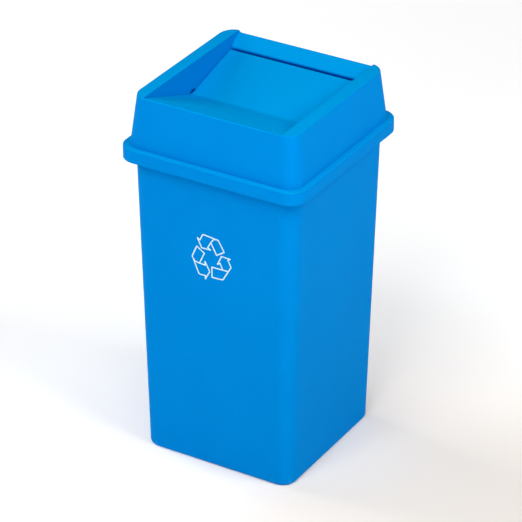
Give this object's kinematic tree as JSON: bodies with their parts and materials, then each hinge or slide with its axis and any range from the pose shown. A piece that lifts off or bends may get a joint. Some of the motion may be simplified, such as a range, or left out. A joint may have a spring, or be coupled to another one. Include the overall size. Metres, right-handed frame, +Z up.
{
  "type": "recycling bin with swing door lid",
  "caption": "Tall square moulded recycling bin with a lift-off hood whose weighted, bent door swings in between two raised cheeks; recycling arrows on the front.",
  "frame": {"origin": "middle of the base, on the surface that the bin stands on", "axes": "+Z up; the front with the symbol faces -Y; +X is to the right of someone who stands before the front and looks along +Y"},
  "size_m": [0.511, 0.511, 0.992],
  "materials": {
    "blue_plastic": "satin moulded polyethylene with a fine grain",
    "white_print": "printed ink, satin",
    "black_nylon": "moulded nylon, satin",
    "weight_steel": "hot-rolled flat bar, dull",
    "zinc_steel": "zinc plated"
  },
  "bodies": {
    "bin": {"bin_body": "blue_plastic", "recycling_symbol": "white_print"},
    "lid": {"lid_hood": "blue_plastic"},
    "door": {"swing_door": "blue_plastic", "pivot_pin_left": "black_nylon", "pivot_pin_right": "black_nylon", "counterweight_bar": "weight_steel", "counterweight_bolts": "zinc_steel", "counterweight_nuts": "zinc_steel"}
  },
  "joints": [
    {"name": "lid_lift", "type": "slide", "parent": "bin", "child": "lid", "axis": [0, 0, 1], "range_m": [0, 0.2]},
    {"name": "door_swing", "type": "hinge", "parent": "lid", "child": "door", "pos_m": [0, 0, 0.893], "axis": [-1, 0, 0], "range_deg": [0, 70]}
  ]
}
